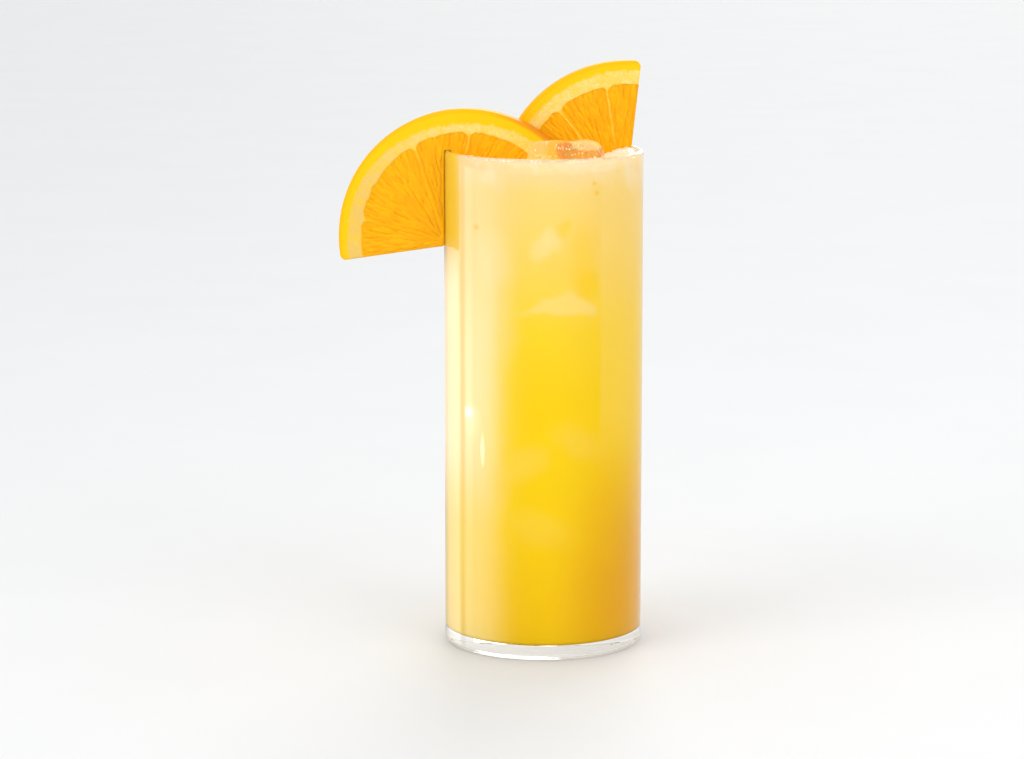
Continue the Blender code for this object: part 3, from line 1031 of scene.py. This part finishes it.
def sac_tree():
    """Scatters juice sacs over pulp, each lying along the line from the core."""
    recipe, given = new_tree(
        "juice sacs",
        [
            ("Spacing", "Float"),
            ("Length", "Float"),
            ("Width", "Float"),
            ("Seed", "Int"),
            ("Material", "Material"),
        ],
    )
    room = recipe.node(
        "GeometryNodeInputNamedAttribute", {"data_type": "FLOAT"}, {"Name": "pulp_depth"}
    )
    outward = recipe.node(
        "GeometryNodeInputNamedAttribute", {"data_type": "FLOAT_VECTOR"}, {"Name": "outward"}
    )
    scattered = recipe.node(
        "GeometryNodeDistributePointsOnFaces",
        {"distribute_method": "POISSON"},
        {
            "Mesh": given["Geometry"],
            "Distance Min": given["Spacing"],
            "Density Max": 2000000.0,
            "Density Factor": recipe.math("GREATER_THAN", room, 0.45),
            "Seed": given["Seed"],
        },
    )
    facing = Wire(recipe, scattered.socket.node.outputs["Normal"])
    turn = recipe.node(
        "FunctionNodeAxesToRotation",
        {"primary_axis": "Z", "secondary_axis": "X"},
        {"Primary Axis": facing, "Secondary Axis": outward},
    )
    sway = recipe.node(
        "FunctionNodeRandomValue", {"data_type": "FLOAT_VECTOR"},
        {0: (-0.06, -0.07, -0.16), 1: (0.06, 0.07, 0.16), "Seed": 5},
    )
    swayed = recipe.node("FunctionNodeEulerToRotation", values={0: sway})
    turn = recipe.node(
        "FunctionNodeRotateRotation", {"rotation_space": "LOCAL"}, {0: turn, 1: swayed}
    )
    ball = recipe.node("GeometryNodeMeshUVSphere", values={"Segments": 8, "Rings": 7, "Radius": 1.0})
    place = recipe.node("GeometryNodeInputPosition")
    x, y, z = recipe.split(place)
    taper = 0.78 + x * 0.34
    drop = recipe.join(x * given["Length"], y * taper * given["Width"], z * taper * given["Width"] * 0.42)
    sac = recipe.node("GeometryNodeSetPosition", values={"Geometry": ball, "Position": drop})
    sac = recipe.node(
        "GeometryNodeStoreNamedAttribute",
        {"data_type": "FLOAT", "domain": "POINT"},
        {"Geometry": sac, "Name": "along", "Value": x * 0.5 + 0.5},
    )
    size = recipe.node("FunctionNodeRandomValue", {"data_type": "FLOAT"}, {2: 0.72, 3: 1.18, "Seed": 2}, 1)
    made = recipe.node(
        "GeometryNodeInstanceOnPoints",
        values={"Points": scattered, "Instance": sac, "Rotation": turn, "Scale": recipe.join(size, size, 1.0)},
    )
    tone = recipe.node("FunctionNodeRandomValue", {"data_type": "FLOAT"}, {2: 0.0, 3: 1.0, "Seed": 9}, 1)
    made = recipe.node(
        "GeometryNodeStoreNamedAttribute",
        {"data_type": "FLOAT", "domain": "INSTANCE"},
        {"Geometry": made, "Name": "tone", "Value": tone},
    )
    recipe.give(made, given["Material"])
    return recipe.tree


def juice_sacs(name, slice_, tree, material):
    """The sacs of both cut faces. They lie on a plain copy of the pulp, which isn't kept."""
    outline = inset(evenly(wheel_outline(slice_), 0.0010), 0.0012)
    flat, triangles, _ = triangulated(outline, 0.0010)
    lie = SLICE_THICKNESS / 2 - PULP_FLOOR
    total = len(flat)
    points = [np.column_stack([flat, np.full(total, side * lie)]) for side in (1, -1)]
    faces = [tuple(t) for t in triangles]
    faces += [tuple(total + i for i in reversed(t)) for t in triangles]
    mesh = mesh_from(name, bend_to_wall(slice_, np.concatenate(points)), faces)
    values = wheel_values(slice_, flat)
    set_values(mesh, "pulp_depth", np.tile(values["pulp_depth"], 2))
    pose = slice_pose(slice_)
    mesh.transform(pose)
    turned_pose = np.array(pose.to_3x3())
    away = np.column_stack([np.cos(values["heading"]), np.sin(values["heading"]), np.zeros(total)])
    away = np.tile(away @ turned_pose.T, (2, 1))
    outward = mesh.attributes.new("outward", "FLOAT_VECTOR", "POINT")
    outward.data.foreach_set("vector", away.astype(np.float32).ravel())
    piece = place_mesh(name + "_bed", mesh)
    sizes = {"Spacing": 0.00118, "Length": 0.0030, "Width": 0.00088, "Seed": slice_["seed"]}
    grow(piece, tree, {**sizes, "Material": material})
    return baked(piece, name, material)


# Ice and froth


def ice_block(name, shrink, cuts):
    """A cube of ice worn by melting, as in the part's source, with rounded edges."""
    corners = {}
    start = bmesh.new()
    bmesh.ops.create_cube(start, size=1.0)
    for i, corner in enumerate(start.verts):
        worn = 1.0 + math.sin(2.4 * i + 0.7)
        key = tuple(c > 0 for c in corner.co)
        corners[key] = [size / 2 - ICE_MELT * worn / 2 - shrink for size in ICE_SIZE]
        if key[2] and not key[0]:
            corners[key][0] -= ICE_LEAN
    bmesh.ops.subdivide_edges(start, edges=start.edges, cuts=cuts, use_grid_fill=True)
    rounding = ICE_ROUNDING - shrink
    for vertex in start.verts:
        half = [0.0, 0.0, 0.0]
        share = [c + 0.5 for c in vertex.co]
        for key, reach in corners.items():
            weight = 1.0
            for axis in range(3):
                weight *= share[axis] if key[axis] else 1 - share[axis]
            half = [h + weight * r for h, r in zip(half, reach)]
        point = Vector([2 * c * h for c, h in zip(vertex.co, half)])
        heart = Vector([max(-(h - rounding), min(h - rounding, c)) for c, h in zip(point, half)])
        out = point - heart
        if out.length > 1e-9:
            point = heart + out.normalized() * rounding
        melt = noise.noise(point * 140) * 0.0006 + noise.noise(point * 340) * 0.00025
        vertex.co = point + point.normalized() * (melt - 0.0003)
    mesh = bpy.data.meshes.new(name)
    start.to_mesh(mesh)
    start.free()
    turn = Matrix.Rotation(math.radians(ICE_YAW), 4, "Z") @ Matrix.Rotation(math.radians(ICE_ROLL), 4, "Y")
    mesh.transform(Matrix.Translation(ICE_CENTRE) @ turn)
    close_up(mesh)
    return place_mesh(name, mesh)


def froth_height(x, y):
    """How far the froth stands above the level at a place, in metres."""
    radius = math.hypot(x, y) / INNER_RADIUS
    heaps = 0.0
    for cx, cy, width, tall in (
        (0.0238, -0.0085, 0.0040, 0.0034),
        (0.0186, -0.0125, 0.0034, 0.0026),
        (0.0262, -0.0030, 0.0030, 0.0026),
        (-0.0080, -0.0150, 0.0060, 0.0010),
        (-0.0190, -0.0110, 0.0060, 0.0009),
    ):
        heaps += tall * math.exp(-((x - cx) ** 2 + (y - cy) ** 2) / width**2)
    lumpy = noise.fractal((x * 300, y * 300, 1.7), 0.7, 2.2, 4) * 0.0005
    collar = smooth_share(radius, 0.72, 0.92) * FROTH_COLLAR
    highest = GLASS_HEIGHT - LEVEL + 0.0018 * smooth_share(radius, 0.98, 0.90)
    return min(heaps * smooth_share(radius, 1.0, 0.93) + collar + lumpy, highest - 0.0008)


def smooth_share(value, start, end):
    return float(smooth_step(np.float64(value), start, end))


def drink(tree, material):
    """The drink, its froth standing unevenly, with a pocket for the ice cube."""
    made = turned("cloudy_drink", drink_profile(), material, tree)
    for vertex in made.data.vertices:
        if vertex.co.z > LEVEL - 0.00001:
            vertex.co.z += froth_height(vertex.co.x, vertex.co.y)
    pocket = ice_block("ice_pocket", 0.00004, 18)
    cutter = made.modifiers.new("pocket", "BOOLEAN")
    cutter.operation = "DIFFERENCE"
    cutter.solver = "EXACT"
    cutter.object = pocket
    made = baked(made, "cloudy_drink", material)
    bpy.data.objects.remove(pocket)
    made.data.shade_smooth()
    made.data.set_sharp_from_angle(angle=math.radians(50.0))
    return made


def bubble_tree():
    """Scatters bubbles over a surface, thicker where its froth value is high."""
    recipe, given = new_tree(
        "froth bubbles",
        [("Spacing", "Float"), ("Radius", "Float"), ("Seed", "Int"), ("Material", "Material")],
    )
    froth = recipe.node(
        "GeometryNodeInputNamedAttribute", {"data_type": "FLOAT"}, {"Name": "froth"}
    )
    scattered = recipe.node(
        "GeometryNodeDistributePointsOnFaces",
        {"distribute_method": "POISSON"},
        {
            "Mesh": given["Geometry"],
            "Distance Min": given["Spacing"],
            "Density Max": 4000000.0,
            "Density Factor": froth,
            "Seed": given["Seed"],
        },
    )
    bubble = recipe.node(
        "GeometryNodeMeshIcoSphere", values={"Radius": given["Radius"], "Subdivisions": 2}
    )
    size = recipe.node("FunctionNodeRandomValue", {"data_type": "FLOAT"}, {2: 0.25, 3: 1.0, "Seed": 4}, 1)
    size = size * size + 0.12
    made = recipe.node(
        "GeometryNodeInstanceOnPoints",
        values={"Points": scattered, "Instance": bubble, "Scale": recipe.join(size, size, size)},
    )
    recipe.give(made, given["Material"])
    return recipe.tree


def ice_bubbles(tree, material):
    """Air bubbles frozen in round the heart of the ice cube."""
    heart = ice_block("ice_heart", ICE_HEART_DEPTH, 18)
    amount = [max(0.0, noise.noise(v.co * 330) + 0.15) for v in heart.data.vertices]
    set_values(heart.data, "froth", amount)
    values = {"Spacing": 0.00050, "Radius": 0.00026, "Seed": 3, "Material": material}
    grow(heart, tree, values)
    return baked(heart, "ice_air_bubbles", material)


def froth(drink_piece, tree, material):
    """Bubbles on the drink's open surface: along the wall and on the heaps of froth."""
    source = bmesh.new()
    source.from_mesh(drink_piece.data)
    unwanted = []
    for face in source.faces:
        middle = face.calc_center_median()
        radius = math.hypot(middle.x, middle.y)
        if face.normal.z < 0.2 or middle.z < LEVEL - 0.001 or radius > INNER_RADIUS - 0.0005:
            unwanted.append(face)
    bmesh.ops.delete(source, geom=unwanted, context="FACES")
    mesh = bpy.data.meshes.new("froth_bed")
    source.to_mesh(mesh)
    source.free()
    mesh.materials.clear()
    amount = []
    for vertex in mesh.vertices:
        radius = math.hypot(vertex.co.x, vertex.co.y) / INNER_RADIUS
        by_wall = max(0.0, (radius - 0.80) / 0.20) ** 2
        heap = min(1.0, max(0.0, vertex.co.z - LEVEL - 0.0010) / 0.0010)
        patch = max(0.0, noise.noise(vertex.co * 150) + 0.1)
        amount.append(min(1.0, 0.5 * by_wall + 0.1 * heap + 0.6 * patch))
    set_values(mesh, "froth", amount)
    piece = place_mesh("froth_bed", mesh)
    values = {"Spacing": 0.00050, "Radius": 0.00042, "Seed": 7, "Material": material}
    grow(piece, tree, values)
    return baked(piece, "froth_bubbles", material)


# The scene


def set_up_pieces():
    turning = turning_tree()
    glass = turned("clear_tumbler", glass_profile(), clear_glass(), turning)
    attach(glass, "root")
    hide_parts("glass")
    glass.visible_shadow = False

    drink_piece = drink(turning, juice())
    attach(drink_piece, "root")
    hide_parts("orange_juice")

    cut_orange, sac = orange_slice(), juice_sac()
    scatter = sac_tree()
    for name, slice_ in (("left", LEFT_SLICE), ("right", RIGHT_SLICE)):
        wheel = half_wheel(f"half_wheel_{name}", slice_, cut_orange)
        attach(wheel, "root")
        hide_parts(f"orange_slice_{name}")
        sacs = juice_sacs(f"juice_sacs_{name}", slice_, scatter, sac)
        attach(sacs, "root")

    ice = ice_block("melting_ice_cube", 0.0, 22)
    ice.data.materials.append(melting_ice())
    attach(ice, "root")
    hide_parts("ice_cube")
    ice.visible_shadow = False

    scatter_bubbles, bubble_skin = bubble_tree(), froth_bubble()
    air = ice_bubbles(scatter_bubbles, bubble_skin)
    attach(air, "root")

    bubbles = froth(drink_piece, scatter_bubbles, bubble_skin)
    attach(bubbles, "root")


def set_up_camera():
    camera = bpy.data.cameras.new("camera")
    camera.sensor_fit = "HORIZONTAL"
    camera.sensor_width = SENSOR
    camera.lens = FOCAL_PIXELS / IMAGE_WIDTH * SENSOR
    camera.clip_start = 0.05
    camera.clip_end = 50.0
    placed = bpy.data.objects.new("camera", camera)
    placed.location = CAMERA_PLACE
    placed.rotation_euler = (math.pi / 2 - CAMERA_TILT, 0.0, CAMERA_YAW)
    bpy.context.scene.collection.objects.link(placed)
    bpy.context.scene.camera = placed


def set_up_floor():
    made, recipe = new_material("pale table")
    place = recipe.place()
    mottle = recipe.noise(place, 0.012, 5.0, 0.6)
    recipe.surface(
        {
            "Base Color": recipe.mix(mottle, (0.735, 0.745, 0.76), (0.775, 0.785, 0.80)),
            "Roughness": 0.65,
            "Specular IOR Level": 0.2,
        }
    )
    reach = 8.0
    mesh = mesh_from(
        "table",
        [(-reach, -reach, 0), (reach, -reach, 0), (reach, reach, 0), (-reach, reach, 0)],
        [(0, 1, 2, 3)],
    )
    mesh.transform(Matrix.Translation((0.0, 0.0, -0.00002)))
    table = place_mesh("table", mesh, made)
    table.visible_glossy = False


def soft_light(name, place, size, power):
    light = bpy.data.lights.new(name, "AREA")
    light.shape = "SQUARE"
    light.size = size
    light.energy = power
    placed = bpy.data.objects.new(name, light)
    placed.location = place
    aim = Vector((0.0, 0.0, 0.09)) - Vector(place)
    placed.rotation_euler = aim.to_track_quat("-Z", "Y").to_euler()
    placed.visible_camera = False
    bpy.context.scene.collection.objects.link(placed)


def back_light():
    """Soft even light from behind, so that the back isn't dull."""
    light = bpy.data.lights.new("back", "SUN")
    light.energy = 0.9
    light.angle = math.radians(40.0)
    placed = bpy.data.objects.new("back", light)
    aim = Vector((-0.25, -1.0, -0.40))
    placed.rotation_euler = aim.to_track_quat("-Z", "Y").to_euler()
    bpy.context.scene.collection.objects.link(placed)


def set_up_light():
    """Soft lamps and an even sky. Low round the glass stand reflector cards, seen in its wall."""
    soft_light("key", (-1.0, -0.75, 0.85), 0.8, 5.4)
    soft_light("fill", (0.9, -0.9, 0.6), 1.0, 4.9)
    back_light()
    world = bpy.data.worlds.new("studio")
    bpy.context.scene.world = world
    world.use_nodes = True
    recipe = Recipe(world.node_tree)
    direction = recipe.node("ShaderNodeTexCoord", output="Generated")
    x, y, z = recipe.split(direction)
    turn = recipe.math("ARCTAN2", x, y * -1.0) * math.degrees(1.0)
    stops = []
    for angle, strength in CARDS:
        share = strength / BRIGHTEST_CARD
        stops.append((0.5 + angle / 360.0, (share, share, share, 1.0)))
    cards = recipe.ramp(turn / 360.0 + 0.5, stops) * BRIGHTEST_CARD
    crown = 1.0 - 0.5 * recipe.smooth(z, -0.170, -0.115)
    crown = crown * (0.45 + 0.55 * recipe.smooth(z, -0.215, -0.185))
    beyond = recipe.smooth(turn, -112.0, -118.0)
    right = recipe.smooth(turn, 0.0, 30.0)
    height = crown * (1.0 - beyond - right) + beyond * recipe.smooth(z, -0.118, -0.150) + right
    low = cards * height * (1.0 - 0.4 * beyond * recipe.smooth(z, -0.185, -0.215))
    for angle, down, wide, tall, strength in SPARKS:
        aside = (turn - angle) / wide
        away = (z - down) / tall
        low = low + recipe.smooth(aside * aside + away * away, 1.0, 0.0) * strength
    steep = recipe.smooth(z, -0.27, -0.32)
    low = low * (1.0 - steep) + steep * 0.85
    above = recipe.smooth(z, -0.075, -0.055)
    strength = low * (1.0 - above) + above * SKY
    background = recipe.node(
        "ShaderNodeBackground", values={"Color": (1.0, 0.995, 0.985, 1.0), "Strength": strength}
    )
    recipe.node("ShaderNodeOutputWorld", values={"Surface": background})


set_up_pieces()
set_up_camera()
set_up_floor()
set_up_light()
bpy.context.scene.view_settings.view_transform = "Standard"
